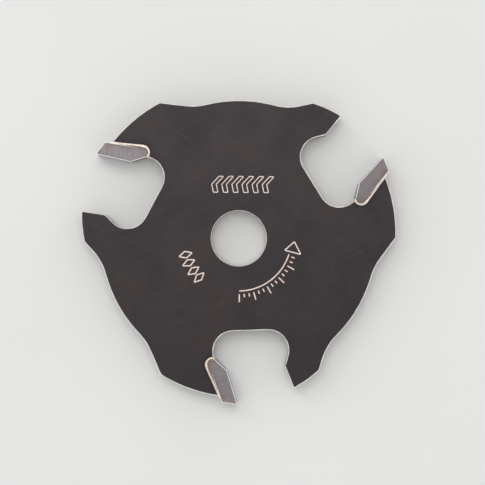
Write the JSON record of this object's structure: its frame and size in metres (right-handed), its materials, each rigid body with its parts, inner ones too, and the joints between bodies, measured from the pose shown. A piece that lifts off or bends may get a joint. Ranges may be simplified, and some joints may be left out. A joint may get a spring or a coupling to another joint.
{
  "type": "slot cutter disc",
  "caption": "Flat winged steel disc with carbide teeth brazed into its rim, spun on an arbor through its centre bore to cut slots and grooves.",
  "frame": {"origin": "centre of the arbor bore, halfway through the plate", "axes": "+Z along the bore out of the marked face; the cutting corners point at 30, 150 and 270 degrees from +X; the disc turns counter-clockwise seen from +Z"},
  "size_m": [0.0453, 0.0436, 0.0032],
  "materials": {
    "body_steel": "satin, darkened",
    "carbide": "fine ground",
    "braze": "satin, silver brazing alloy"
  },
  "bodies": {
    "root": {"cutter_body": "body_steel", "carbide_tip_1": "carbide", "carbide_tip_2": "carbide", "carbide_tip_3": "carbide", "braze_seam_1": "braze", "braze_seam_2": "braze", "braze_seam_3": "braze"}
  },
  "joints": []
}
